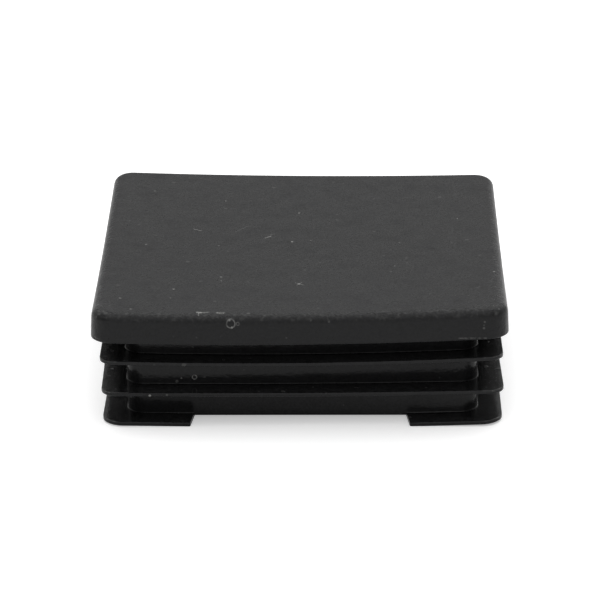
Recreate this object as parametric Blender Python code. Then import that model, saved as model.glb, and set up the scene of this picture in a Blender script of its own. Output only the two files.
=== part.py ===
"""Square tube end plug, moulded in one piece of black plastic.

A soft-edged, slightly dished cap covers the tube's end and stops on it. Below the cap a hollow square wall
goes into the tube. Two thin fins run all round the wall and press against the tube's inside, and a foot
flange at each corner guides the plug in. A small fillet runs along each root.

Units are metres and +Z is up. The plug stands on its four feet, and the origin is the middle of the face
that they stand on.
"""

from math import cos, radians, sin, tan

import bmesh
import bpy
from mathutils import Matrix, Vector

# Cap
CAP_WIDTH = 0.1000
CAP_THICKNESS = 0.0075
CAP_CORNER_RADIUS = 0.0050
CAP_EDGE_RADIUS = 0.0023
CAP_DRAFT = 0.00035
CAP_DISH = 0.0018
CAP_WEB = 0.0030
CAP_LIP_RADIUS = 0.0003

# Wall that goes into the tube
INSERT_DEPTH = 0.0235
WALL_THICKNESS = 0.0025
WALL_CORNER_RADIUS = 0.0042
HOLLOW_CORNER_RADIUS = 0.0017
HOLLOW_DRAFT = 0.0004
HOLLOW_EDGE_RADIUS = 0.0010

# Sealing fins; each drop is from the cap's seat to the top of the fin
UPPER_FIN_DROP = 0.00565
LOWER_FIN_DROP = 0.01415
FIN_SET_BACK = 0.0016
FIN_OVERHANG = 0.00595
FIN_CORNER_RADIUS = 0.0036
FIN_TIP_THICKNESS = 0.0010
FIN_ROOT_THICKNESS = 0.0014

# Fillet where the wall meets the cap, the fins and the feet
ROOT_RADIUS = 0.0006
ROOT_LAP = 0.0001

# Foot flange, which is left out along the middle of each side
FOOT_OVERHANG = 0.0058
FOOT_LENGTH = 0.0165
FOOT_THICKNESS = 0.0010
FOOT_CORNER_RADIUS = 0.0068
FOOT_END_RADIUS = 0.0008
FOOT_END_SLANT = radians(6)
FOOT_LAP = 0.0005

# Finish
EDGE_SOFTNESS = 0.0002
PLASTIC_COLOUR = (0.022, 0.022, 0.023, 1.0)
PLASTIC_ROUGHNESS = 0.55

# Fineness of the round shapes
CORNER_SEGMENTS = 6
CAP_EDGE_SEGMENTS = 5
CAP_GRID = 10
FILLET_SEGMENTS = 3
SOFT_SEGMENTS = 2
SMOOTH_ANGLE = radians(32)
FLAT_ANGLE = radians(0.05)
MERGE_DISTANCE = 0.000001

# How far a joined piece or a cutter runs past the face it meets, and how near counts as the same place
OVERLAP = 0.0010
TOUCH = 0.0001

# Share of the Z axis in the direction of a steep edge, and in the normal of a level face
STEEP = 0.7
LEVEL = 0.99


def seat_height():
    """Height of the cap's underside, which stops on the tube's end."""
    return INSERT_DEPTH


def corner_height():
    """Height of the cap's top at its corners."""
    return seat_height() + CAP_THICKNESS


def ceiling_height():
    """Height of the hollow's ceiling, one web below the middle of the dished top."""
    return corner_height() - CAP_DISH - CAP_WEB


def fin_width():
    """Width over the fins, which stop short of the cap's sides by about the tube's wall."""
    return CAP_WIDTH - 2 * FIN_SET_BACK


def wall_width():
    """Width of the wall over its outer faces."""
    return fin_width() - 2 * FIN_OVERHANG


def foot_width():
    """Width over the foot flange."""
    return wall_width() + 2 * FOOT_OVERHANG


def hollow_width():
    """Width of the hollow at its mouth."""
    return wall_width() - 2 * WALL_THICKNESS


def upright_edges(mesh):
    """The edges that run up from the bottom to the top of a block."""
    return [edge for edge in mesh.edges if abs((edge.verts[0].co - edge.verts[1].co).normalized().z) > STEEP]


def rim_edges(mesh, up):
    """The edges around a block's top face, or around its bottom face."""
    direction = 1 if up else -1
    rim = []
    for edge in mesh.edges:
        facing = [face for face in edge.link_faces if face.normal.z * direction > LEVEL]
        if len(facing) == 1:
            rim.append(edge)
    return rim


def round_edges(mesh, edges, radius, segments):
    """Gives edges a round of the stated radius."""
    bmesh.ops.bevel(
        mesh, geom=edges, offset=radius, segments=segments, profile=0.5, affect="EDGES", clamp_overlap=True
    )
    mesh.normal_update()


def square_block(width, low, high, corner_radius, draft=0.0, grid=1):
    """A square block with round upright corners; its top is narrower by the draft on each side.

    A grid above 1 divides the top, and the sides with it, into that many strips each way.
    """
    mesh = bmesh.new()
    bmesh.ops.create_cube(mesh, size=1.0)
    for vert in mesh.verts:
        is_top = vert.co.z > 0
        across = width - 2 * draft if is_top else width
        vert.co.x *= across
        vert.co.y *= across
        vert.co.z = high if is_top else low
    if grid > 1:
        level = [edge for edge in mesh.edges if edge.verts[0].co.z == edge.verts[1].co.z]
        bmesh.ops.subdivide_edges(mesh, edges=level, cuts=grid - 1, use_grid_fill=True)
        mesh.normal_update()
        bmesh.ops.dissolve_faces(mesh, faces=[face for face in mesh.faces if face.normal.z < -LEVEL])
        corners = [edge for edge in upright_edges(mesh) if is_at_corner(edge, width, draft)]
    else:
        corners = upright_edges(mesh)
    round_edges(mesh, corners, corner_radius, CORNER_SEGMENTS)
    return mesh


def is_at_corner(edge, width, draft):
    """Tells a block's own corner edges from the strips' edges along its sides."""
    nearest = width / 2 - draft - TOUCH
    return all(min(abs(vert.co.x), abs(vert.co.y)) > nearest for vert in edge.verts)


def add_object(name, mesh, collection):
    """Puts a finished bmesh into the scene as an object of its own."""
    data = bpy.data.meshes.new(name)
    mesh.to_mesh(data)
    mesh.free()
    item = bpy.data.objects.new(name, data)
    collection.objects.link(item)
    return item


def add_cap(collection):
    """The cap: a slab with soft edges whose top sinks in a shallow dish, its corners highest."""
    mesh = square_block(CAP_WIDTH, seat_height(), corner_height(), CAP_CORNER_RADIUS, CAP_DRAFT, CAP_GRID)
    round_edges(mesh, rim_edges(mesh, up=True), CAP_EDGE_RADIUS, CAP_EDGE_SEGMENTS)
    round_edges(mesh, rim_edges(mesh, up=False), CAP_LIP_RADIUS, SOFT_SEGMENTS)
    corner_reach = 2 * (CAP_WIDTH / 2 - CAP_DRAFT - CAP_EDGE_RADIUS) ** 2
    edge_start = corner_height() - CAP_EDGE_RADIUS - TOUCH
    for vert in mesh.verts:
        if vert.co.z > edge_start:
            reach = vert.co.x ** 2 + vert.co.y ** 2
            vert.co.z -= CAP_DISH * max(0.0, 1 - reach / corner_reach)
    return add_object("end_plug", mesh, collection)


def root_fillet(face, away):
    """A fillet's profile as pairs of stand-off from the wall and height, from the wall to the face it meets.

    The fillet is above that face where away is 1, and below it where away is -1. Its ends run a little way
    into the wall and into the face, so that the pieces join cleanly.
    """
    profile = [(-ROOT_LAP, face + away * (ROOT_RADIUS + ROOT_LAP))]
    for step in range(1, FILLET_SEGMENTS):
        angle = radians(90) * step / FILLET_SEGMENTS
        profile.append((ROOT_RADIUS * (1 - cos(angle)), face + away * ROOT_RADIUS * (1 - sin(angle))))
    profile.append((ROOT_RADIUS + ROOT_LAP, face - away * ROOT_LAP))
    return profile


def wall_loft(profile):
    """A solid loft through outlines that run round the wall, each with its stand-off from it and its height."""
    mesh = bmesh.new()
    centre = wall_width() / 2 - WALL_CORNER_RADIUS
    rings = []
    for stand_off, height in profile:
        ring = []
        for quarter in range(4):
            turn = Matrix.Rotation(radians(90) * quarter, 3, "Z")
            for step in range(CORNER_SEGMENTS + 1):
                angle = radians(90) * step / CORNER_SEGMENTS
                reach = WALL_CORNER_RADIUS + stand_off
                point = Vector((centre + reach * cos(angle), centre + reach * sin(angle), height))
                ring.append(mesh.verts.new(turn @ point))
        rings.append(ring)
    for low, high in zip(rings, rings[1:]):
        for here in range(len(low)):
            after = (here + 1) % len(low)
            mesh.faces.new((low[here], low[after], high[after], high[here]))
    mesh.faces.new(list(reversed(rings[0])))
    mesh.faces.new(rings[-1])
    mesh.normal_update()
    return mesh


def add_wall(collection):
    """The square wall, still solid, from its lower edge up into the cap."""
    lower_edge = FOOT_THICKNESS - FOOT_LAP
    mesh = wall_loft([(0.0, lower_edge), (0.0, seat_height() + OVERLAP)])
    return add_object("wall", mesh, collection)


def add_root(name, faces, collection):
    """The fillets along the wall at some faces, from low to high, still solid inside and between them."""
    profile = []
    for face, away in faces:
        fillet = root_fillet(face, away)
        profile += fillet if away < 0 else reversed(fillet)
    return add_object(name, wall_loft(profile), collection)


def fin_mesh(drop):
    """A fin: a thin square plate with a soft tip, thicker at its root because its underside slopes."""
    top = seat_height() - drop
    mesh = square_block(fin_width(), top - FIN_TIP_THICKNESS, top, FIN_CORNER_RADIUS)
    softness = min(EDGE_SOFTNESS, FIN_TIP_THICKNESS / 3)
    round_edges(mesh, rim_edges(mesh, up=True) + rim_edges(mesh, up=False), softness, SOFT_SEGMENTS)
    underside = [face for face in mesh.faces if face.normal.z < -LEVEL]
    grown = bmesh.ops.extrude_face_region(mesh, geom=underside)["geom"]
    bmesh.ops.delete(mesh, geom=underside, context="FACES_ONLY")
    slope = (FIN_ROOT_THICKNESS - FIN_TIP_THICKNESS) / FIN_OVERHANG
    shrink = 1 - (FIN_OVERHANG + OVERLAP) / (fin_width() / 2)
    for vert in [item for item in grown if isinstance(item, bmesh.types.BMVert)]:
        vert.co.x *= shrink
        vert.co.y *= shrink
        vert.co.z -= slope * (FIN_OVERHANG + OVERLAP)
    mesh.normal_update()
    return mesh


def add_foot(collection):
    """The foot flange, cut away along the middle of each side so that four corner feet are left."""
    mesh = square_block(foot_width(), 0.0, FOOT_THICKNESS, FOOT_CORNER_RADIUS)
    return add_object("foot", mesh, collection)


def add_gap_cutter(collection, quarter):
    """Clears the foot flange along one side, with ends that open slightly outwards."""
    inner = hollow_width() / 2 - OVERLAP
    outer = foot_width() / 2 + OVERLAP
    flare = tan(FOOT_END_SLANT)
    mesh = bmesh.new()
    bmesh.ops.create_cube(mesh, size=1.0)
    for vert in mesh.verts:
        distance = outer if vert.co.y < 0 else inner
        half = wall_width() / 2 - FOOT_LENGTH + flare * (distance - wall_width() / 2)
        vert.co.x = half if vert.co.x > 0 else -half
        vert.co.y = -distance
        vert.co.z = FOOT_THICKNESS + ROOT_RADIUS + OVERLAP if vert.co.z > 0 else -OVERLAP
    bmesh.ops.rotate(mesh, verts=mesh.verts, cent=Vector(), matrix=Matrix.Rotation(radians(90) * quarter, 3, "Z"))
    return add_object(f"foot_gap_{quarter + 1}", mesh, collection)


def add_hollow_cutter(collection):
    """Clears the hollow inside the wall, from below the feet to the ceiling under the cap."""
    mesh = square_block(hollow_width(), -OVERLAP, ceiling_height(), HOLLOW_CORNER_RADIUS, HOLLOW_DRAFT)
    round_edges(mesh, rim_edges(mesh, up=True), HOLLOW_EDGE_RADIUS, FILLET_SEGMENTS)
    return add_object("hollow", mesh, collection)


def combine(base, other, operation):
    """Adds a Boolean modifier that joins a piece to the base, or cuts it out of it."""
    modifier = base.modifiers.new(other.name, "BOOLEAN")
    modifier.operation = operation
    modifier.object = other
    hide_tool(other)


def combine_all(base, pieces):
    """Adds one Boolean modifier that joins every piece of a collection to the base."""
    modifier = base.modifiers.new(pieces.name, "BOOLEAN")
    modifier.operation = "UNION"
    modifier.operand_type = "COLLECTION"
    modifier.collection = pieces
    for piece in pieces.objects:
        hide_tool(piece)


def hide_tool(item):
    """Keeps a joined piece or a cutter out of renders, and shows it as a wire."""
    item.hide_render = True
    item.display_type = "WIRE"


def settle(item):
    """Keeps the evaluated shape as the object's own mesh."""
    bpy.context.view_layer.update()
    depsgraph = bpy.context.evaluated_depsgraph_get()
    shape = bpy.data.meshes.new_from_object(item.evaluated_get(depsgraph))
    item.modifiers.clear()
    item.data = shape
    shape.name = item.name


def round_foot_ends(foot):
    """Rounds the outer corner of each foot, where the flange stops."""
    mesh = bmesh.new()
    mesh.from_mesh(foot.data)
    mesh.normal_update()
    rim = foot_width() / 2 - TOUCH
    corner_start = foot_width() / 2 - FOOT_CORNER_RADIUS - TOUCH
    ends = []
    for edge in upright_edges(mesh):
        along, out = sorted((abs(edge.verts[0].co.x), abs(edge.verts[0].co.y)))
        if out > rim and along < corner_start:
            ends.append(edge)
    round_edges(mesh, ends, FOOT_END_RADIUS, FILLET_SEGMENTS)
    mesh.to_mesh(foot.data)
    mesh.free()


def tidy_faces(item):
    """Merges flat neighbouring faces, and shades the round ones smooth."""
    mesh = bmesh.new()
    mesh.from_mesh(item.data)
    bmesh.ops.remove_doubles(mesh, verts=mesh.verts, dist=MERGE_DISTANCE)
    bmesh.ops.dissolve_limit(mesh, angle_limit=FLAT_ANGLE, verts=mesh.verts, edges=mesh.edges)
    mesh.to_mesh(item.data)
    mesh.free()
    item.data.shade_smooth()
    item.data.set_sharp_from_angle(angle=SMOOTH_ANGLE)


def black_plastic():
    """Matte black moulded plastic."""
    material = bpy.data.materials.new("black_plastic")
    material.use_nodes = True
    shader = material.node_tree.nodes["Principled BSDF"]
    shader.inputs["Base Color"].default_value = PLASTIC_COLOUR
    shader.inputs["Roughness"].default_value = PLASTIC_ROUGHNESS
    shader.inputs["Metallic"].default_value = 0.0
    return material


def new_collection(name):
    """A collection in the scene."""
    collection = bpy.data.collections.new(name)
    bpy.context.scene.collection.children.link(collection)
    return collection


def main():
    """Builds the plug from its cap, wall, fins and feet, and then clears its hollow."""
    for item in list(bpy.data.objects):
        bpy.data.objects.remove(item, do_unlink=True)
    parts = new_collection("square_tube_end_plug")
    pieces = new_collection("joined_pieces")
    tools = new_collection("cutters")

    foot = add_foot(pieces)
    combine(foot, add_root("foot_root", [(FOOT_THICKNESS, 1)], tools), "UNION")
    for quarter in range(4):
        combine(foot, add_gap_cutter(tools, quarter), "DIFFERENCE")
    settle(foot)
    round_foot_ends(foot)

    plug = add_cap(parts)
    add_wall(pieces)
    add_root("seat_root", [(seat_height(), -1)], pieces)
    for name, drop in (("upper_fin", UPPER_FIN_DROP), ("lower_fin", LOWER_FIN_DROP)):
        top = seat_height() - drop
        add_object(name, fin_mesh(drop), pieces)
        add_root(f"{name}_root", [(top - FIN_ROOT_THICKNESS, -1), (top, 1)], pieces)
    combine_all(plug, pieces)
    combine(plug, add_hollow_cutter(tools), "DIFFERENCE")
    settle(plug)
    tidy_faces(plug)
    plug.data.materials.clear()
    plug.data.materials.append(black_plastic())


main()
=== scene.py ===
"""Looks of a square tube end plug, moulded in one piece of black plastic and standing on a white table.

The moulded body is one mesh of square rings with round corners, which follow the plug's profile from the
middle of the cap, over its edge, down the wall and its fins, and up inside the hollow. Four corner feet stand
out from the wall's lower edge. All of it then settles a little, as a thick cap and thin fins do when they
cool in the mould.

Lengths are metres and +Z is up.
"""

import math

import bmesh
import bpy
from mathutils import Matrix, Vector


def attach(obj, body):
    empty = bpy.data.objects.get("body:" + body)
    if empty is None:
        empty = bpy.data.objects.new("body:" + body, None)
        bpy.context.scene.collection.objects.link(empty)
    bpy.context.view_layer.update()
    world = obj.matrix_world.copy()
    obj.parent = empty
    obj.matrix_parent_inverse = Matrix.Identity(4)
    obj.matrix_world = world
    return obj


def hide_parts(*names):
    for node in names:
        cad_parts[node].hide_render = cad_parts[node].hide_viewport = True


bl_info = {
    "name": "Square Tube End Plug",
    "version": (1, 0, 0),
    "blender": (4, 5, 0),
    "location": "View3D > Sidebar > End Plug",
    "description": "Builds a moulded end plug for a square tube, in black plastic on a white table",
    "category": "Add Mesh",
}

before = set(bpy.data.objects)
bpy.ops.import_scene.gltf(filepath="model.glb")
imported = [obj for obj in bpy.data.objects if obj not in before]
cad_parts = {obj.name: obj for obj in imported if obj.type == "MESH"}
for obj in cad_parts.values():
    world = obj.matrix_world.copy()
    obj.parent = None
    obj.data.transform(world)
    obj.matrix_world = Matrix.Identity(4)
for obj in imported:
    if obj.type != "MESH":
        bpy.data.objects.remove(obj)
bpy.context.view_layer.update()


def length(name, description, default):
    """A size that the user can set, in metres."""
    return bpy.props.FloatProperty(
        name=name, description=description, default=default, unit="LENGTH", subtype="DISTANCE", precision=5
    )


def share(name, description, default):
    """A number from 0 to 1 that the user can set."""
    return bpy.props.FloatProperty(
        name=name, description=description, default=default, min=0.0, max=1.0, subtype="FACTOR"
    )


def amount(name, description, default):
    """A plain number that the user can set."""
    return bpy.props.FloatProperty(name=name, description=description, default=default, min=0.0)


def turn(name, description, degrees):
    """An angle that the user can set."""
    return bpy.props.FloatProperty(
        name=name, description=description, default=math.radians(degrees), unit="ROTATION", subtype="ANGLE"
    )


def colour(name, description, default):
    """A colour that the user can set."""
    return bpy.props.FloatVectorProperty(
        name=name, description=description, default=default, size=3, min=0.0, max=1.0, subtype="COLOR"
    )


class PlugShape(bpy.types.PropertyGroup):
    """Sizes of the moulding."""

    cap_width: length("Cap width", "Width of the cap over its sides", 0.1)
    cap_thickness: length("Cap thickness", "Thickness of the cap at its edge", 0.0075)
    cap_corner: length("Cap corner", "Radius of the cap's upright corners", 0.0050)
    cap_edge: length("Cap edge", "Radius of the cap's soft top edge", 0.0023)
    cap_draft: length("Cap draft", "How much narrower each side of the cap is at its top", 0.00035)
    cap_lip: length("Cap lip", "Radius of the cap's lower edge", 0.0003)
    insert_depth: length("Insert depth", "Height from the feet to the cap's underside", 0.0235)
    wall_width: length("Wall width", "Width of the wall over its outer faces", 0.0849)
    wall_thickness: length("Wall thickness", "Thickness of the wall at its lower edge", 0.0025)
    wall_corner: length("Wall corner", "Radius of the wall's upright corners", 0.0042)
    wall_clearance: length("Wall clearance", "Height of the wall's lower edge over the table", 0.0005)
    root_radius: length("Root radius", "Radius of the fillets at the roots of cap, fins and feet", 0.0003)
    fin_width: length("Fin width", "Width over the sealing fins", 0.0968)
    fin_corner: length("Fin corner", "Radius of the fins' corners", 0.0036)
    fin_tip: length("Fin tip", "Thickness of a fin at its tip", 0.001)
    fin_root: length("Fin root", "Thickness of a fin at the wall", 0.0014)
    upper_fin: length("Upper fin", "Height of the upper fin's top face", 0.01785)
    lower_fin: length("Lower fin", "Height of the lower fin's top face", 0.00935)
    foot_width: length("Foot width", "Width over the corner feet", 0.0965)
    foot_corner: length("Foot corner", "Radius of the feet's outer corners", 0.0050)
    foot_thickness: length("Foot thickness", "Thickness of the feet", 0.001)
    foot_length: length("Foot length", "Length of a foot along the wall, from the wall's corner", 0.0167)
    foot_end: length("Foot end", "Radius of the outer corner where a foot stops", 0.0005)
    foot_slant: turn("Foot slant", "Angle by which the gaps between the feet open outwards", 7.0)
    foot_curl: length("Foot curl", "How far the corners of the feet bend up", 0.00044)
    ceiling: length("Ceiling", "Height of the hollow's ceiling", 0.0262)
    hollow_draft: length("Hollow draft", "How much each side of the hollow narrows to its ceiling", 0.0004)
    hollow_edge: length("Hollow edge", "Radius round the hollow's ceiling", 0.001)
    foot_shift: length("Foot shift", "How far the gaps in front and at the back sit to the left", 0.0005)
    softness: length("Softness", "Radius of the thin edges of fins and feet", 0.0002)


class PlugFinish(bpy.types.PropertyGroup):
    """Colour and surface of the plastic."""

    plastic: colour("Plastic", "Colour of the plastic", (0.0096, 0.0097, 0.0101))
    # Beside dust and rubbed marks, this colour paints the highlights on the corner tips and the reflection on
    # the side fins' tops
    dust: colour("Dust", "Colour of dust and rubbed marks", (0.30, 0.30, 0.29))
    cap_roughness: share("Cap roughness", "Roughness of the grained cap", 0.34)
    wall_roughness: share("Wall roughness", "Roughness of the smoother wall and fins", 0.13)
    specular: share("Specular level", "Strength of the plastic's reflection", 0.1875)
    grain: length("Grain", "Height of the fine moulded grain", 0.00020)
    mottling: share("Mottling", "How much the plastic's shade varies", 0.7)
    # This strength also scales the painted highlights on the corner tips and the painted reflection on the
    # side fins
    dust_and_painted_light_strength: share("Dustiness", "How strongly dust, smears and scratches show", 0.8)


class PlugStage(bpy.types.PropertyGroup):
    """Table, light and camera."""

    table: colour("Table", "Colour of the table", (0.82, 0.82, 0.82))
    light: amount("Light", "Strength of the soft light all round", 1.0)
    camera_distance: length("Camera distance", "Distance from the camera to its target", 0.8758)
    camera_elevation: turn("Camera elevation", "Height of the camera over the horizon", 21.71)
    camera_azimuth: turn("Camera azimuth", "Turn of the camera round the plug", 0.864)
    camera_roll: turn("Camera roll", "Roll of the camera", 0.461)
    lens: bpy.props.FloatProperty(
        name="Lens", description="Focal length in millimetres", default=208.4, unit="CAMERA"
    )


# How the moulding settles as it cools, by height before it settles: how far the middle of a level sinks
# below its corners, how far the whole level sinks, how far its corners twist, how far it moves to the
# right, and how far its sides turn
SETTLING = (
    (0.00100, 0.00000, 0.00000, 0.00000, 0.00060, 0.00012),
    (0.00935, 0.00077, 0.00005, -0.00012, -0.00019, -0.00088),
    (0.01785, 0.00182, 0.00010, 0.00034, 0.00005, -0.00034),
    (0.02350, 0.00179, 0.00048, 0.00049, 0.00000, 0.00000),
    (0.03100, 0.00179, 0.00052, 0.00049, 0.00000, 0.00000),
)

# How much more a level sags in front than in its middle
FRONT_SAGS_MORE = 0.2

# How much more the feet bend up at two opposite corners, and where along a side the bend starts
FEET_CURL_UNEVENLY = 0.33
CURL_START = 0.028

CAMERA_TARGET = Vector((-0.00051, 0.0, 0.01360))

# The four alike corners and sides of the square, and the turn from one to the next
CORNERS = 4
QUARTER = math.radians(90)

# How finely the moulding is divided
SIDE_STEPS = 24
CORNER_STEPS = 8
CAP_RINGS = 16
EDGE_STEPS = 8
FILLET_STEPS = 4
SOFT_STEPS = 3
RUN_STEPS = 4
HOLLOW_STEPS = 6
FOOT_STEPS = 4

# How far the feet's edges lie inside the wall that carries them, how far short of the hollow they stop, and
# how far their fillets stand out from the wall
BURIED = 0.0001
SHORT_OF_HOLLOW = 0.000025
CLEAR_OF_WALL = 0.00001

# Where a foot has rows of points near its tip, in radii of its rounded end
FOOT_TIP_ROWS = (2, 1, 0.5)

# Edges that turn more than this are shaded sharp
SMOOTH_BELOW = math.radians(40)

# The soft light all round, brightest overhead and weaker towards the sides. Each patch has its height over
# the horizon and its bearing from the back, in degrees, and its strength
LIGHT_PATCHES = (
    (0, 0, 0.10),
    (5, -35, 0.30),
    (5, 35, 0.42),
    (40, 0, 0.34),
    (60, 0, 1.20),
    (80, 0, 1.12),
    (80, 180, 0.80),
    (60, 180, 0.73),
    (35, 180, 0.58),
    (10, 180, 0.48),
    (12, -66, 0.25),
    (12, 66, 0.20),
    (45, -55, 0.60),
    (45, 55, 0.62),
    (58, -80, 0.30),
    (58, 80, 0.30),
    (30, -90, 0.20),
    (30, 90, 0.22),
)
PATCH_NARROWNESS = 8.0

# The table: its size and its dullness
TABLE_RADIUS = 6.0
TABLE_SIDES = 96
TABLE_ROUGHNESS = 0.9

# How much of its own white the table adds to what the camera sees and to what the plug mirrors
TABLE_GLOW = 0.38
MIRRORED_GLOW = 0.1

# The camera's sensor in millimetres, and the range that it sees, in metres
SENSOR_WIDTH = 36.0
NEAREST_SEEN = 0.05
FARTHEST_SEEN = 50.0


def settled(point, reach, sinks=True):
    """A point of the moulding after it has settled; reach is the half width of its level."""
    heights = [row[0] for row in SETTLING]
    above = next((i for i, height in enumerate(heights) if point.z <= height), len(heights) - 1)
    low, high = SETTLING[max(0, above - 1)], SETTLING[above]
    part = 1.0 if above == 0 else min(1.0, (point.z - low[0]) / (high[0] - low[0]))
    sag, sink, twist, shift, turned = (a + (b - a) * part for a, b in zip(low[1:], high[1:]))
    across = point.x / reach
    along = point.y / reach
    sag *= (1 - (across ** 2 + along ** 2) / 2) * (1 - FRONT_SAGS_MORE * along)
    drop = sag + sink + twist * across * along if sinks else 0.0
    return Vector((point.x + shift + turned * along, point.y - turned * across, point.z - drop))


def curl(point, shape):
    """How far a foot is bent up at a point: more at its corner, and most at front right and back left."""
    corner = shape.foot_width / 2
    near = min(1.0, max(0.0, (min(abs(point.x), abs(point.y)) - CURL_START) / (corner - CURL_START)))
    uneven = 1 - FEET_CURL_UNEVENLY * (point.x / corner) * (point.y / corner)
    return shape.foot_curl * near * uneven


def arc(start, end, steps):
    """Points of a quarter round from one profile point to another, without the two.

    Each point is a half width and a height. The third value of start is true where the round sets off level
    and ends upright, and false where it sets off upright and ends level.
    """
    points = []
    level_first = start[2]
    for step in range(1, steps):
        angle = QUARTER * step / steps
        out = math.sin(angle) if level_first else 1 - math.cos(angle)
        down = 1 - math.cos(angle) if level_first else math.sin(angle)
        points.append((start[0] + (end[0] - start[0]) * out, start[1] + (end[1] - start[1]) * down))
    return points


def spread(start, end, steps):
    """Points between two profile points, without the two."""
    return [
        (start[0] + (end[0] - start[0]) * step / steps, start[1] + (end[1] - start[1]) * step / steps)
        for step in range(1, steps)
    ]


def square_ring(half, corner, height):
    """Points round a square with round corners, anticlockwise, as many on every ring."""
    points = []
    centre = half - corner
    for quarter in range(CORNERS):
        spin = Matrix.Rotation(QUARTER * quarter, 3, "Z")
        for step in range(CORNER_STEPS + 1):
            angle = QUARTER * step / CORNER_STEPS
            x = centre + corner * math.cos(angle)
            y = centre + corner * math.sin(angle)
            points.append(spin @ Vector((x, y, height)))
        for step in range(1, SIDE_STEPS):
            points.append(spin @ Vector((centre - 2 * centre * step / SIDE_STEPS, half, height)))
    return points


class Profile:
    """The plug's half profile, as rings from the middle of the cap down and back up inside the hollow."""

    def __init__(self):
        self.rings = []

    def add(self, points, corner, reach, settles=True):
        """Adds profile points, with functions for a ring's corner radius and its level's half width."""
        for half, height in points:
            self.rings.append((half, height, corner(half), reach(half), settles))


def cap_profile(profile, shape):
    """The cap: its top, its round edge, its side and the seat under it."""
    seat = shape.insert_depth
    top = seat + shape.cap_thickness
    slope = shape.cap_draft / shape.cap_thickness
    side_low = (shape.cap_width / 2 - slope * shape.cap_lip, seat + shape.cap_lip)
    side_high = (shape.cap_width / 2 - slope * (shape.cap_thickness - shape.cap_edge), top - shape.cap_edge)
    edge = (shape.cap_width / 2 - shape.cap_draft - shape.cap_edge, top)
    lip = (side_low[0] - shape.cap_lip, seat)
    root = (shape.wall_width / 2 + shape.root_radius, seat)
    inner_corner = shape.cap_corner - shape.cap_edge

    def top_corner(half):
        return inner_corner * half / edge[0]

    def edge_corner(half):
        return inner_corner + half - edge[0]

    def seat_corner(half):
        part = (half - root[0]) / (lip[0] - root[0])
        inner = shape.wall_corner + shape.root_radius
        outer = shape.cap_corner - shape.cap_lip
        return inner * (1 - part) + outer * part

    top_rings = [(edge[0] * ring / CAP_RINGS, top) for ring in range(1, CAP_RINGS)]
    profile.add(top_rings, top_corner, lambda half: edge[0])
    profile.add([edge, *arc((*edge, True), side_high, EDGE_STEPS)], edge_corner, lambda half: half)
    side = [side_high, *spread(side_high, side_low, RUN_STEPS), side_low]
    profile.add(side, edge_corner, lambda half: half)
    profile.add([*arc((*side_low, False), lip, SOFT_STEPS), lip], edge_corner, lambda half: side_low[0])
    profile.add([*spread(lip, root, RUN_STEPS), root], seat_corner, lambda half: side_low[0])


def fin_profile(profile, shape, top):
    """A fin: its top face, soft tip and sloping underside, with a fillet above and below its root."""
    wall = shape.wall_width / 2
    tip = shape.fin_width / 2
    root = wall + shape.root_radius
    overhang = tip - wall
    slope = (shape.fin_root - shape.fin_tip) / overhang
    soft = shape.softness
    low = top - shape.fin_tip
    under_root = (root, low - slope * (tip - root))
    above = (wall, top + shape.root_radius)
    below = (wall, under_root[1] - shape.root_radius)

    def fin_corner(half):
        part = (half - wall) / overhang
        return shape.wall_corner * (1 - part) + shape.fin_corner * part

    over_tip = (tip - soft, top)
    tip_high = (tip, top - soft)
    tip_low = (tip, low + soft)
    under_tip = (tip - soft, low)
    points = [above, *arc((*above, False), (root, top), FILLET_STEPS), (root, top)]
    points += [*spread((root, top), over_tip, RUN_STEPS), over_tip]
    points += [*arc((*over_tip, True), tip_high, SOFT_STEPS), tip_high, tip_low]
    points += [*arc((*tip_low, False), under_tip, SOFT_STEPS), under_tip]
    points += [*spread(under_tip, under_root, RUN_STEPS), under_root]
    points += [*arc((*under_root, True), below, FILLET_STEPS), below]
    profile.add(points, fin_corner, lambda half: tip)


def wall_profile(profile, shape):
    """The wall below the lower fin, its lower edge, and the hollow up to its ceiling."""
    wall = shape.wall_width / 2
    mouth = wall - shape.wall_thickness
    low = shape.wall_clearance
    soft = shape.softness / 2
    inner_corner = shape.wall_corner - shape.wall_thickness
    side_top = (mouth - shape.hollow_draft, shape.ceiling - shape.hollow_edge)
    ceiling_edge = (side_top[0] - shape.hollow_edge, shape.ceiling)

    def wall_corner(half):
        return max(inner_corner, shape.wall_corner + half - wall)

    def ceiling_corner(half):
        return inner_corner * half / mouth

    def fin_reach(half):
        return shape.fin_width / 2

    under_fin = (wall, shape.lower_fin - shape.fin_root)
    outside = [*spread(under_fin, (wall, low + soft), RUN_STEPS), (wall, low + soft)]
    outside += [*arc((wall, low + soft, False), (wall - soft, low), SOFT_STEPS), (wall - soft, low)]
    inside = [(mouth + soft, low), *arc((mouth + soft, low, True), (mouth, low + soft), SOFT_STEPS)]
    inside += [(mouth, low + soft), *spread((mouth, low + soft), side_top, HOLLOW_STEPS), side_top]
    inside += [*arc((*side_top, False), ceiling_edge, FILLET_STEPS), ceiling_edge]
    parts = [1 - ring / HOLLOW_STEPS for ring in range(1, HOLLOW_STEPS)]
    ceiling = [(ceiling_edge[0] * part, shape.ceiling) for part in parts]
    profile.add(outside, wall_corner, fin_reach)
    profile.add(inside, wall_corner, fin_reach, settles=False)
    profile.add(ceiling, ceiling_corner, fin_reach, settles=False)


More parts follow.
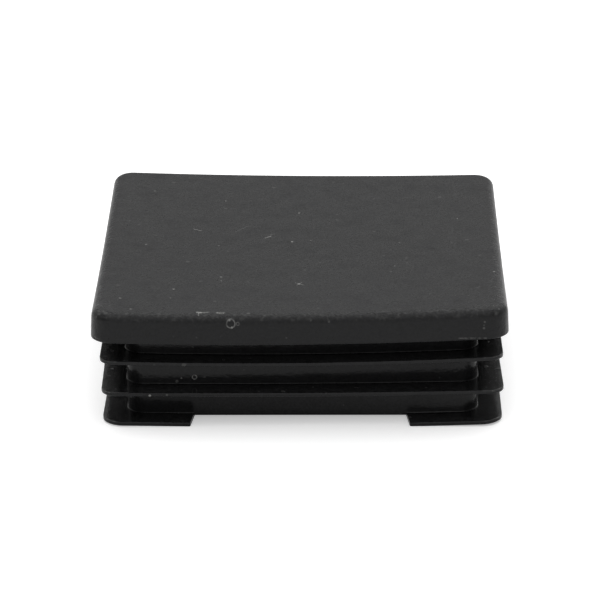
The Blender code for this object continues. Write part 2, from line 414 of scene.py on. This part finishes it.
def body_mesh(mesh, shape):
    """Lays the profile round the square: cap, fins, wall and hollow as one closed skin."""
    profile = Profile()
    wall = shape.wall_width / 2
    seat_root = (wall + shape.root_radius, shape.insert_depth)
    seat_wall = (wall, shape.insert_depth - shape.root_radius)
    upper_fin_top = (wall, shape.upper_fin + shape.root_radius)
    upper_fin_low = (wall, shape.upper_fin - shape.fin_root - shape.root_radius)
    lower_fin_top = (wall, shape.lower_fin + shape.root_radius)

    def root_corner(half):
        return shape.wall_corner + half - wall

    def wall_corner(half):
        return shape.wall_corner

    def fin_reach(half):
        return shape.fin_width / 2

    cap_profile(profile, shape)
    profile.add([*arc((*seat_root, True), seat_wall, FILLET_STEPS), seat_wall], root_corner, fin_reach)
    profile.add(spread(seat_wall, upper_fin_top, RUN_STEPS), wall_corner, fin_reach)
    fin_profile(profile, shape, shape.upper_fin)
    profile.add(spread(upper_fin_low, lower_fin_top, RUN_STEPS), wall_corner, fin_reach)
    fin_profile(profile, shape, shape.lower_fin)
    wall_profile(profile, shape)

    rings = []
    for half, height, corner, reach, settles in profile.rings:
        points = square_ring(half, corner, height)
        rings.append([mesh.verts.new(settled(point, reach, settles)) for point in points])
    for outer, inner in zip(rings, rings[1:]):
        for here in range(len(outer)):
            after = (here + 1) % len(outer)
            mesh.faces.new((outer[here], inner[here], inner[after], outer[after]))
    top = Vector((0, 0, shape.insert_depth + shape.cap_thickness))
    top_middle = mesh.verts.new(settled(top, shape.cap_width / 2))
    ceiling_middle = mesh.verts.new(settled(Vector((0, 0, shape.ceiling)), shape.fin_width / 2, False))
    for ring, middle in ((rings[0], top_middle), (rings[-1], ceiling_middle)):
        for here in range(len(ring)):
            after = (here + 1) % len(ring)
            corners = (ring[here], ring[after], middle)
            mesh.faces.new(corners if middle is top_middle else tuple(reversed(corners)))


def foot_profile(shape):
    """A foot's section, in rows of how far out from the wall's face, and how high its top and bottom are."""
    reach = (shape.foot_width - shape.wall_width) / 2
    thick = shape.foot_thickness
    radius = shape.root_radius
    soft = shape.softness
    rows = [(SHORT_OF_HOLLOW - shape.wall_thickness, thick - BURIED, 0.0), (-2 * BURIED, thick - BURIED, 0.0)]
    rows.append((-BURIED, thick + radius + BURIED, 0.0))
    for step in range(FILLET_STEPS + 1):
        angle = QUARTER * step / FILLET_STEPS
        out = radius * (1 - math.cos(angle)) + CLEAR_OF_WALL
        rows.append((out, thick + radius * (1 - math.sin(angle)), 0.0))
    for radii in FOOT_TIP_ROWS:
        rows.append((reach - radii * shape.foot_end, thick, 0.0))
    for step in range(SOFT_STEPS + 1):
        angle = QUARTER * step / SOFT_STEPS
        drop = soft * (1 - math.cos(angle))
        rows.append((reach - soft + soft * math.sin(angle), thick - drop, drop))
    return rows


def foot_point(point, shape):
    """A point of a foot after the moulding has settled and the foot has bent up."""
    return settled(point, shape.fin_width / 2) + Vector((0, 0, curl(point, shape)))


def foot_mesh(mesh, shape, quarter):
    """One corner foot: an L-shaped flange, with a fillet at the wall and its outer ends rounded."""
    wall = shape.wall_width / 2
    reach = (shape.foot_width - shape.wall_width) / 2
    spin = Matrix.Rotation(QUARTER * quarter, 3, "Z")
    flare = math.tan(shape.foot_slant)
    tops, bottoms = [], []
    for stand_off, high, low in foot_profile(shape):
        part = max(0.0, stand_off / reach)
        corner = shape.wall_corner * (1 - part) + shape.foot_corner * part
        if stand_off < 0:
            corner = shape.wall_corner + stand_off
        half = wall + stand_off
        start = wall - shape.foot_length + flare * stand_off
        rounding = max(0.0, (stand_off - reach + shape.foot_end) / shape.foot_end)
        start += shape.foot_end * (1 - math.sqrt(max(0.0, 1 - rounding ** 2)))
        right_end = start - shape.foot_shift * (spin @ Vector((0, 1, 0))).x
        left_end = start - shape.foot_shift * (spin @ Vector((1, 0, 0))).x
        centre = half - corner
        outline = [(half, right_end + (centre - right_end) * step / FOOT_STEPS) for step in range(FOOT_STEPS)]
        for step in range(CORNER_STEPS + 1):
            angle = QUARTER * step / CORNER_STEPS
            outline.append((centre + corner * math.cos(angle), centre + corner * math.sin(angle)))
        for step in reversed(range(FOOT_STEPS)):
            outline.append((left_end + (centre - left_end) * step / FOOT_STEPS, half))
        for rows, height in ((tops, high), (bottoms, low)):
            points = [foot_point(spin @ Vector((x, y, height)), shape) for x, y in outline]
            rows.append([mesh.verts.new(point) for point in points])
    last = len(tops[0]) - 1
    for inner, outer in zip(tops, tops[1:]):
        for here in range(last):
            mesh.faces.new((inner[here], outer[here], outer[here + 1], inner[here + 1]))
    for inner, outer in zip(bottoms, bottoms[1:]):
        for here in range(last):
            mesh.faces.new((inner[here + 1], outer[here + 1], outer[here], inner[here]))
    for row in range(len(tops) - 1):
        mesh.faces.new((bottoms[row][0], bottoms[row + 1][0], tops[row + 1][0], tops[row][0]))
        mesh.faces.new((tops[row][last], tops[row + 1][last], bottoms[row + 1][last], bottoms[row][last]))
    for here in range(last):
        mesh.faces.new((tops[0][here + 1], bottoms[0][here + 1], bottoms[0][here], tops[0][here]))
        mesh.faces.new((tops[-1][here], bottoms[-1][here], bottoms[-1][here + 1], tops[-1][here + 1]))


# Where the colours stand among the sockets of a Mix node
MIX_FIRST = 6
MIX_SECOND = 7
MIX_RESULT = 2

# How much of a spot's radius and of a streak's width is as strong as its middle
SPOT_CORE = 0.5
STREAK_CORE = 0.2


class Wire:
    """A socket of a material's nodes. Sums and products of wires add the Math nodes that work them out."""

    def __init__(self, tree, socket=None):
        self.tree = tree
        self.socket = socket

    def node(self, kind, settings=None, sockets=None, output=0):
        """Adds a node, sets its settings first and then its sockets, and gives one of its outputs."""
        item = self.tree.nodes.new(kind)
        for name, value in (settings or {}).items():
            setattr(item, name, value)
        for name, value in (sockets or {}).items():
            if isinstance(value, Wire):
                self.tree.links.new(value.socket, item.inputs[name])
            else:
                item.inputs[name].default_value = value
        return Wire(self.tree, item.outputs[output])

    def maths(self, operation, *values, clamp=False):
        """Adds a Math node."""
        sockets = dict(enumerate(values))
        return self.node("ShaderNodeMath", {"operation": operation, "use_clamp": clamp}, sockets)

    def vector_maths(self, operation, other, output="Vector"):
        """Adds a Vector Math node for this vector and another."""
        sockets = {0: self, 1: other}
        return self.node("ShaderNodeVectorMath", {"operation": operation}, sockets, output)

    def __add__(self, other):
        return self.maths("ADD", self, other)

    def __radd__(self, other):
        return self.maths("ADD", other, self)

    def __sub__(self, other):
        return self.maths("SUBTRACT", self, other)

    def __rsub__(self, other):
        return self.maths("SUBTRACT", other, self)

    def __mul__(self, other):
        return self.maths("MULTIPLY", self, other)

    def __rmul__(self, other):
        return self.maths("MULTIPLY", other, self)

    def __abs__(self):
        return self.maths("ABSOLUTE", self)

    def least(self, other):
        """The smaller of two values."""
        return self.maths("MINIMUM", self, other)

    def most(self, other):
        """The larger of two values."""
        return self.maths("MAXIMUM", self, other)

    def rise(self, low, high):
        """0 below low, 1 above high and smooth between; it falls where low is above high."""
        settings = {"interpolation_type": "SMOOTHSTEP"}
        return self.node("ShaderNodeMapRange", settings, {"Value": self, "From Min": low, "From Max": high})

    def past(self, place, fade):
        """Rises over a range that is measured from a place."""
        return self.rise(place + fade[0], place + fade[1])

    def near(self, place, radius):
        """1 at a place, falling to 0 at a radius from it; the wire is a position."""
        return self.vector_maths("DISTANCE", place, "Value").rise(radius, radius * SPOT_CORE)

    def ring(self, place, radius, width):
        """1 on a thin ring round a place; the wire is a position."""
        distance = self.vector_maths("DISTANCE", place, "Value")
        return abs(distance - radius).rise(width, 0.0)

    def streak(self, start, end, width):
        """1 along the line between two places, falling to 0 at its width; the wire is a position."""
        line = Vector(end) - Vector(start)
        away = self.vector_maths("SUBTRACT", start)
        along = away.vector_maths("DOT_PRODUCT", tuple(line / line.length_squared), "Value")
        foot = along.maths("MULTIPLY", along, 1.0, clamp=True)
        nearest = foot.node("ShaderNodeVectorMath", {"operation": "SCALE"}, {0: tuple(line), "Scale": foot})
        return away.vector_maths("DISTANCE", nearest, "Value").rise(width, width * STREAK_CORE)

    def patch(self, height, bearing):
        """1 towards a height over the horizon and a bearing, falling softly; the wire is a direction."""
        level = math.cos(height)
        towards = (level * math.sin(bearing), level * math.cos(bearing), math.sin(height))
        facing = self.vector_maths("DOT_PRODUCT", towards, "Value")
        return facing.maths("POWER", facing.most(0.0), PATCH_NARROWNESS)

    def parts(self):
        """The X, Y and Z of a position or a direction."""
        item = self.node("ShaderNodeSeparateXYZ", sockets={0: self}).socket.node
        return tuple(Wire(self.tree, socket) for socket in item.outputs)

    def mix(self, mask, first, second):
        """A colour that a mask turns from a first one to a second."""
        sockets = {"Factor": mask, MIX_FIRST: first, MIX_SECOND: second}
        return self.node("ShaderNodeMix", {"data_type": "RGBA"}, sockets, MIX_RESULT)


def noise(position, scale, detail=1.0, roughness=0.5):
    """Soft noise from 0 to 1, with its grains so many to the metre."""
    sockets = {"Vector": position, "Scale": scale, "Detail": detail, "Roughness": roughness}
    return position.node("ShaderNodeTexNoise", {"noise_dimensions": "3D"}, sockets)


# Dust specks on the cap's top: place across and along, radius and strength
TOP_SPECKS = (
    (-0.0385, 0.0352, 0.00035, 0.4),
    (-0.0199, 0.0294, 0.0003, 0.9),
    (-0.0009, 0.0215, 0.00035, 0.9),
    (0.0395, 0.0163, 0.0003, 0.9),
    (-0.0024, 0.0016, 0.0004, 1.0),
    (0.0023, 0.0024, 0.00025, 0.6),
    (0.0245, 0.0001, 0.0003, 0.5),
    (-0.0389, -0.0015, 0.0004, 0.5),
    (-0.0207, -0.0013, 0.0003, 0.5),
    (0.0231, -0.0162, 0.0003, 0.4),
    (0.0473, -0.0226, 0.0004, 0.7),
    (-0.0194, -0.0229, 0.0004, 0.6),
    (-0.0193, -0.0256, 0.0003, 0.7),
    (-0.0003, -0.0277, 0.0005, 0.9),
    (-0.0306, -0.0316, 0.0004, 0.8),
    (-0.0432, -0.0386, 0.0004, 0.6),
    (-0.0311, -0.0378, 0.0003, 0.4),
    (-0.0402, -0.0460, 0.0004, 0.6),
)

# Fine scratches on the cap's top: both ends, half width and strength
TOP_SCRATCHES = (
    ((-0.0275, 0.0098, 0), (-0.0254, 0.0085, 0), 0.00018, 0.9),
    ((-0.0168, 0.0083, 0), (-0.0137, 0.0123, 0), 0.00016, 0.25),
    ((-0.0137, 0.0123, 0), (-0.0105, 0.0118, 0), 0.00014, 0.15),
    ((-0.0092, 0.0041, 0), (-0.0077, 0.0055, 0), 0.00022, 1.0),
    ((-0.0088, 0.0060, 0), (-0.0070, 0.0068, 0), 0.00014, 0.5),
    ((-0.0012, -0.0268, 0), (0.0008, -0.0284, 0), 0.00020, 0.6),
    ((-0.0009, -0.0286, 0), (0.0004, -0.0266, 0), 0.00018, 0.5),
)

# Rubbed spots on the cap's front rim: both ends, half width and strength
RIM_SMEARS = (
    ((-0.0242, -0.0475, 0), (-0.0233, -0.0476, 0), 0.00055, 1.0),
    ((-0.0240, -0.0475, 0), (-0.0239, -0.0486, 0), 0.00030, 0.8),
    ((-0.0230, -0.0476, 0), (-0.0216, -0.0474, 0), 0.00040, 0.6),
    ((-0.0195, -0.0477, 0), (-0.0180, -0.0477, 0), 0.00050, 0.9),
    ((-0.0122, -0.0479, 0), (-0.0120, -0.0479, 0), 0.00040, 0.4),
)

# Marks on the front: rings with their place, radius, half width and strength
FRONT_RINGS = (
    ((-0.01626, 0, 0.02734), 0.00100, 0.00028, 0.5),
    ((-0.01460, 0, 0.02733), 0.00036, 0.00024, 0.3),
    ((-0.02545, 0, 0.01073), 0.00052, 0.00026, 1.0),
)

# Dots on the front: place, radius and strength
FRONT_DOTS = (
    ((0.04403, 0, 0.02770), 0.00035, 0.2),
    ((0.04386, 0, 0.02616), 0.00040, 0.2),
    ((-0.01600, 0, 0.02640), 0.00036, 0.9),
    ((-0.01655, 0, 0.02820), 0.00036, 0.6),
    ((0.00708, 0, 0.02779), 0.00035, 0.15),
    ((-0.02861, 0, 0.01048), 0.00030, 0.5),
    ((-0.03597, 0, 0.00850), 0.00042, 0.9),
    ((-0.03187, 0, 0.00869), 0.00035, 0.2),
    ((-0.02969, 0, 0.00963), 0.00050, 0.25),
    ((0.04385, 0, 0.02690), 0.00025, 0.15),
)

# Rubbed edges on the front: both ends, half width and strength
FRONT_SMEARS = (
    ((0.03772, 0, 0.02362), (0.04437, 0, 0.02362), 0.00030, 0.2),
)


# Where marks lie: how far up a face looks on the cap's top and on the front, and how far past the seat and
# the wall's front face they start
TOP_LOOKS_UP = (0.75, 0.9)
TOP_OVER_SEAT = (0.0, 0.001)
FRONT_LOOKS_UP = (0.95, 0.75)
FRONT_PAST_WALL = (-0.001, -0.0005)

# What breaks up smears and rings: crumbs to the metre, the range in which they show, and how much of a smear
# and of a ring stays whole
SMEAR_CRUMBS = 1500.0
RAGGED = (0.35, 0.6)
WHOLE_SMEAR = 0.4
WHOLE_RING = 0.45

# Sparse dust all over: grains to the metre, the range in which they show, and their strength
LOOSE_DUST = 520.0
LOOSE_DUST_SHOWS = (0.80, 0.86)
LOOSE_DUST_STRENGTH = 0.14

# Where the plastic changes: how far past the fins and over the seat the cap starts, how far from the cap's
# sides its corners lie, how far out of the wall dust and painted light start on fins and feet, and the height
# over the feet from which dust and a painted reflection lie on the side fins
CAP_PAST_FINS = (0.0004, 0.0008)
CAP_OVER_SEAT = (-0.0004, 0.0)
CAP_CORNERS = (-0.0050, -0.0025)
OUT_OF_WALL = (0.0006, 0.0020)
OVER_FEET = (0.004, 0.006)

# How far up a face looks where the rim starts and ends, on top of the fins, and where tips start and end
RIM_STARTS = (0.1, 0.5)
RIM_ENDS = (0.998, 0.97)
FIN_TOPS = (0.5, 0.9)
TIP_STARTS = (0.05, 0.35)
TIP_ENDS = (0.99, 0.9)

# Layers of noise in the plastic, from fine grain to soft clouds: grains to the metre, detail and roughness of
# the noise, and then its share in the relief, in the roughness and in the shade
LAYERS = (
    (1900.0, 1.0, 0.6, 1.1, 0.0, 3.2),
    (700.0, 2.0, 0.6, 1.7, 0.5, 2.6),
    (170.0, 2.0, 0.6, 1.2, 0.6, 1.2),
    (28.0, 1.0, 0.5, 0.0, 0.15, 0.6),
)
NOISE_MIDDLE = 0.5

# How strong the grain is below the cap, how much more on the cap and again on its top, how far up the top
# looks, and how much calmer the sheen is on the rim
GRAIN_BELOW = 0.12
GRAIN_ON_CAP = 0.23
GRAIN_ON_TOP = 0.65
TOP_GRAIN_LOOKS_UP = (0.7, 0.98)
RIM_CALM = 0.4

# How strongly the shade varies on upright faces and how much more on level ones, how far up these look, and
# how much darker or lighter than the plastic it gets
SHADE_UPRIGHT = 0.25
SHADE_LEVEL = 0.75
SHADE_LOOKS_UP = (0.3, 0.9)
SHADE_SPREAD = 0.65

# Dust that has settled: crumbs to the metre, the range in which they show, and how much lies on the rim, and
# evenly and in crumbs on the cap's corners, on the fins at the sides and on the tips of fins and feet. The
# even part on the side fins is a painted reflection, and on the tips a painted highlight
DUST_CRUMBS = 1000.0
DUST_SHOWS = (0.5, 0.75)
RIM_DUST = 0.07
CAP_CORNER_DUST = (0.03, 0.12)
# On the side fins' tops the even part is a painted reflection, with crumbs of dust over it
SIDE_FIN_DUST_AND_REFLECTION = (0.045, 0.06)
# On the corner tips of fins and feet the even part is a painted highlight, with crumbs of dust over it
TIP_DUST_AND_HIGHLIGHT = (0.10, 0.25)

# How much rougher the plastic is where it is marked
MARKS_ARE_ROUGHER = 0.2


def strongest(masks):
    """The strongest of several masks at each place."""
    masks = iter(masks)
    total = next(masks)
    for mask in masks:
        total = total.most(mask)
    return total


def weighted(layers, weights):
    """Layers added up, each times its weight."""
    terms = iter([layer * weight for layer, weight in zip(layers, weights) if weight])
    total = next(terms)
    for term in terms:
        total = total + term
    return total


def dust_and_marks(position, upward, shape):
    """Where dust, scratches and rubbed marks lie, from 0 to 1."""
    x, y, z = position.parts()
    on_top = upward.rise(*TOP_LOOKS_UP) * z.past(shape.insert_depth, TOP_OVER_SEAT)
    in_front = (0 - y).past(shape.wall_width / 2, FRONT_PAST_WALL) * abs(upward).rise(*FRONT_LOOKS_UP)
    plan = position.node("ShaderNodeCombineXYZ", sockets={"X": x, "Y": y})
    face = position.node("ShaderNodeCombineXYZ", sockets={"X": x, "Z": z})
    ragged = noise(position, SMEAR_CRUMBS).rise(*RAGGED)

    top = [plan.near((across, along, 0), radius) * power for across, along, radius, power in TOP_SPECKS]
    top += [plan.streak(start, end, width) * power for start, end, width, power in TOP_SCRATCHES]
    rim = [plan.streak(start, end, width) * power for start, end, width, power in RIM_SMEARS]
    top.append(strongest(rim) * (WHOLE_SMEAR + ragged * (1 - WHOLE_SMEAR)))

    front = [face.near(place, radius) * power for place, radius, power in FRONT_DOTS]
    rings = [face.ring(place, radius, width) * power for place, radius, width, power in FRONT_RINGS]
    smears = [face.streak(start, end, width) * power for start, end, width, power in FRONT_SMEARS]
    front += [strongest(rings) * (WHOLE_RING + ragged * (1 - WHOLE_RING)), strongest(smears) * ragged]

    loose = noise(position, LOOSE_DUST, detail=0.0).rise(*LOOSE_DUST_SHOWS) * LOOSE_DUST_STRENGTH
    return strongest((strongest(top) * on_top, strongest(front) * in_front, loose))


def settled_dust_and_painted_light(position, upward, on_cap, at_rim, shape):
    """How much dust has settled on the rim, on the cap's corners, on the side fins and on the tips, with a
    painted reflection on the side fins and a painted highlight on the tips.
    """
    x, y, z = position.parts()
    off_cap = 1 - on_cap
    from_middle = abs(x).least(abs(y))
    at_cap_corner = from_middle.past(shape.cap_width / 2, CAP_CORNERS)
    at_corner = from_middle.past(shape.wall_width / 2, OUT_OF_WALL) * off_cap
    # On the side fins' tops the dust colour also paints a reflection
    on_side_fins = abs(x).past(shape.wall_width / 2, OUT_OF_WALL) * off_cap
    on_side_fins = on_side_fins * upward.rise(*FIN_TOPS) * z.rise(*OVER_FEET)
    # On the corner tips the dust colour also paints a highlight along the rounded edges
    on_tip = at_corner * upward.rise(*TIP_STARTS) * upward.rise(*TIP_ENDS)

    crumbs = noise(position, DUST_CRUMBS).rise(*DUST_SHOWS)
    corner_dust, fin_dust_and_reflection, tip_dust_and_highlight = (
        even + crumbs * crumbled for even, crumbled in (CAP_CORNER_DUST, SIDE_FIN_DUST_AND_REFLECTION, TIP_DUST_AND_HIGHLIGHT)
    )
    rim_dust = at_rim * (crumbs * RIM_DUST + at_cap_corner * corner_dust)
    return strongest((rim_dust, on_side_fins * fin_dust_and_reflection, on_tip * tip_dust_and_highlight))


def black_plastic(finish, shape):
    """Black plastic: grained on the cap, smoother below it, with dust, fine scratches and rubbed edges, and
    with a painted reflection on the side fins and painted highlights on the corner tips.
    """
    material = bpy.data.materials.new("black_plastic")
    material.use_nodes = True
    tree = material.node_tree
    shader = tree.nodes["Principled BSDF"]
    start = Wire(tree)
    position = start.node("ShaderNodeTexCoord", output="Object")
    upward = start.node("ShaderNodeNewGeometry", output="Normal").parts()[2]
    x, y, z = position.parts()

    beside_fins = abs(x).most(abs(y)).past(shape.fin_width / 2, CAP_PAST_FINS)
    on_cap = beside_fins.most(z.past(shape.insert_depth, CAP_OVER_SEAT))
    at_rim = on_cap * upward.rise(*RIM_STARTS) * upward.rise(*RIM_ENDS)
    textured = GRAIN_BELOW + on_cap * (GRAIN_ON_CAP + upward.rise(*TOP_GRAIN_LOOKS_UP) * GRAIN_ON_TOP)
    marks = dust_and_marks(position, upward, shape)
    # Dust, and with it a painted reflection on the side fins' tops and painted highlights on the corner tips
    dust = settled_dust_and_painted_light(position, upward, on_cap, at_rim, shape)

    layers = [noise(position, *layer[:3]) for layer in LAYERS]
    swings = [layer - NOISE_MIDDLE for layer in layers]
    reliefs, sheens, shades = zip(*(layer[3:] for layer in LAYERS))

    uneven = weighted(swings, sheens) * textured * (1 - at_rim * RIM_CALM)
    roughness = finish.wall_roughness + on_cap * (finish.cap_roughness - finish.wall_roughness) + uneven
    roughness = roughness + marks * MARKS_ARE_ROUGHER
    tree.links.new(roughness.socket, shader.inputs["Roughness"])

    grained = SHADE_UPRIGHT + upward.rise(*SHADE_LOOKS_UP) * SHADE_LEVEL
    shade = NOISE_MIDDLE + weighted(swings, shades) * grained * finish.mottling
    dark = (*[part * (1 - SHADE_SPREAD) for part in finish.plastic], 1.0)
    light = (*[part * (1 + SHADE_SPREAD) for part in finish.plastic], 1.0)
    dust_and_painted_light_colour = (*finish.dust, 1.0)
    base = start.mix(shade, dark, light)
    # The dust colour lightens the base with dust and also paints the side fins' reflection and the corner
    # tips' highlights
    with_dust_and_painted_light = start.mix(dust * finish.dust_and_painted_light_strength, base, dust_and_painted_light_colour)
    marked = start.mix(marks * finish.dust_and_painted_light_strength, with_dust_and_painted_light, dust_and_painted_light_colour)
    tree.links.new(marked.socket, shader.inputs["Base Color"])

    lift = weighted(layers, reliefs) * textured + marks
    bump = lift.node("ShaderNodeBump", sockets={"Height": lift, "Distance": finish.grain, "Strength": 1.0})
    tree.links.new(bump.socket, shader.inputs["Normal"])

    shader.inputs["Specular IOR Level"].default_value = finish.specular
    return material


def add_object(name, mesh):
    """Puts a finished bmesh into the scene, shaded smooth but for its sharp edges."""
    bmesh.ops.recalc_face_normals(mesh, faces=mesh.faces)
    data = bpy.data.meshes.new(name)
    mesh.to_mesh(data)
    mesh.free()
    data.shade_smooth()
    data.set_sharp_from_angle(angle=SMOOTH_BELOW)
    item = bpy.data.objects.new(name, data)
    bpy.context.scene.collection.objects.link(item)
    return item


class PLUG_OT_moulding(bpy.types.Operator):
    """Build the moulded plug and give it its black plastic"""

    bl_idname = "plug.moulding"
    bl_label = "Moulded plug"
    bl_options = {"REGISTER", "UNDO"}

    def execute(self, context):
        shape = context.scene.plug_shape
        mesh = bmesh.new()
        body_mesh(mesh, shape)
        for quarter in range(CORNERS):
            foot_mesh(mesh, shape, quarter)
        plug = add_object("moulded_plug", mesh)
        plug.data.materials.append(black_plastic(context.scene.plug_finish, shape))
        even = plug.modifiers.new("even_shading", "WEIGHTED_NORMAL")
        even.keep_sharp = True
        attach(plug, "root")
        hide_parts("end_plug")
        return {"FINISHED"}


class PLUG_OT_stage(bpy.types.Operator):
    """Set up the white table, the soft light and the camera"""

    bl_idname = "plug.stage"
    bl_label = "Table, light and camera"
    bl_options = {"REGISTER", "UNDO"}

    def execute(self, context):
        stage = context.scene.plug_stage
        self.add_table(stage)
        self.add_light(context.scene, stage)
        self.add_camera(context.scene, stage)
        context.scene.view_settings.view_transform = "Standard"
        return {"FINISHED"}

    def add_table(self, stage):
        """A wide table that shows white to the camera and in reflections, and keeps the plug's shadow."""
        mesh = bmesh.new()
        bmesh.ops.create_circle(mesh, cap_ends=True, segments=TABLE_SIDES, radius=TABLE_RADIUS)
        table = add_object("table", mesh)
        material = bpy.data.materials.new("white_table")
        material.use_nodes = True
        shader = material.node_tree.nodes["Principled BSDF"]
        shader.inputs["Base Color"].default_value = (*stage.table, 1.0)
        shader.inputs["Roughness"].default_value = TABLE_ROUGHNESS
        shader.inputs["Specular IOR Level"].default_value = 0.0
        seen = Wire(material.node_tree).node("ShaderNodeLightPath", output="Is Camera Ray")
        glossy = Wire(seen.tree, seen.socket.node.outputs["Is Glossy Ray"])
        through = Wire(seen.tree, seen.socket.node.outputs["Is Transmission Ray"])
        glow = seen * TABLE_GLOW + glossy.most(through) * MIRRORED_GLOW
        glow.tree.links.new(glow.socket, shader.inputs["Emission Color"])
        shader.inputs["Emission Strength"].default_value = 1.0
        table.data.materials.append(material)

    def add_light(self, scene, stage):
        """A room that lights the plug from its soft bright patches."""
        world = bpy.data.worlds.new("soft_room")
        scene.world = world
        world.use_nodes = True
        background = world.node_tree.nodes["Background"]
        background.inputs["Color"].default_value = (1, 1, 1, 1)
        direction = Wire(world.node_tree).node("ShaderNodeTexCoord", output="Generated")
        total = 0.0
        for height, bearing, strength in LIGHT_PATCHES:
            total = direction.patch(math.radians(height), math.radians(bearing)) * strength + total
        total = total * stage.light
        world.node_tree.links.new(total.socket, background.inputs["Strength"])

    def add_camera(self, scene, stage):
        """The camera, where the photograph was taken from."""
        data = bpy.data.cameras.new("camera")
        data.lens = stage.lens
        data.sensor_width = SENSOR_WIDTH
        data.clip_start = NEAREST_SEEN
        data.clip_end = FARTHEST_SEEN
        camera = bpy.data.objects.new("camera", data)
        scene.collection.objects.link(camera)
        elevation = stage.camera_elevation
        azimuth = stage.camera_azimuth
        back = Vector((
            math.sin(azimuth) * math.cos(elevation),
            -math.cos(azimuth) * math.cos(elevation),
            math.sin(elevation),
        ))
        right = (-back).cross(Vector((0, 0, 1))).normalized()
        up = right.cross(-back)
        across = right * math.cos(stage.camera_roll) - up * math.sin(stage.camera_roll)
        upward = right * math.sin(stage.camera_roll) + up * math.cos(stage.camera_roll)
        turned = Matrix((across, upward, back)).transposed().to_4x4()
        camera.matrix_world = Matrix.Translation(CAMERA_TARGET + back * stage.camera_distance) @ turned
        scene.camera = camera


class PLUG_PT_panel(bpy.types.Panel):
    """Lists what builds the plug and its table"""

    bl_idname = "PLUG_PT_panel"
    bl_label = "Square tube end plug"
    bl_space_type = "VIEW_3D"
    bl_region_type = "UI"
    bl_category = "End Plug"

    def draw(self, context):
        layout = self.layout
        for group in (context.scene.plug_shape, context.scene.plug_finish, context.scene.plug_stage):
            box = layout.box()
            for name in group.__annotations__:
                box.prop(group, name)
        layout.operator(PLUG_OT_moulding.bl_idname)
        layout.operator(PLUG_OT_stage.bl_idname)


CLASSES = (PlugShape, PlugFinish, PlugStage, PLUG_OT_moulding, PLUG_OT_stage, PLUG_PT_panel)


def register():
    """Registers the classes and adds the settings to the scene."""
    for item in CLASSES:
        bpy.utils.register_class(item)
    bpy.types.Scene.plug_shape = bpy.props.PointerProperty(type=PlugShape)
    bpy.types.Scene.plug_finish = bpy.props.PointerProperty(type=PlugFinish)
    bpy.types.Scene.plug_stage = bpy.props.PointerProperty(type=PlugStage)


def unregister():
    """Takes the settings and the classes out again."""
    del bpy.types.Scene.plug_stage
    del bpy.types.Scene.plug_finish
    del bpy.types.Scene.plug_shape
    for item in reversed(CLASSES):
        bpy.utils.unregister_class(item)


def main():
    """Builds the plug and its stage."""
    register()
    bpy.ops.plug.moulding()
    bpy.ops.plug.stage()


if __name__ == "__main__":
    main()
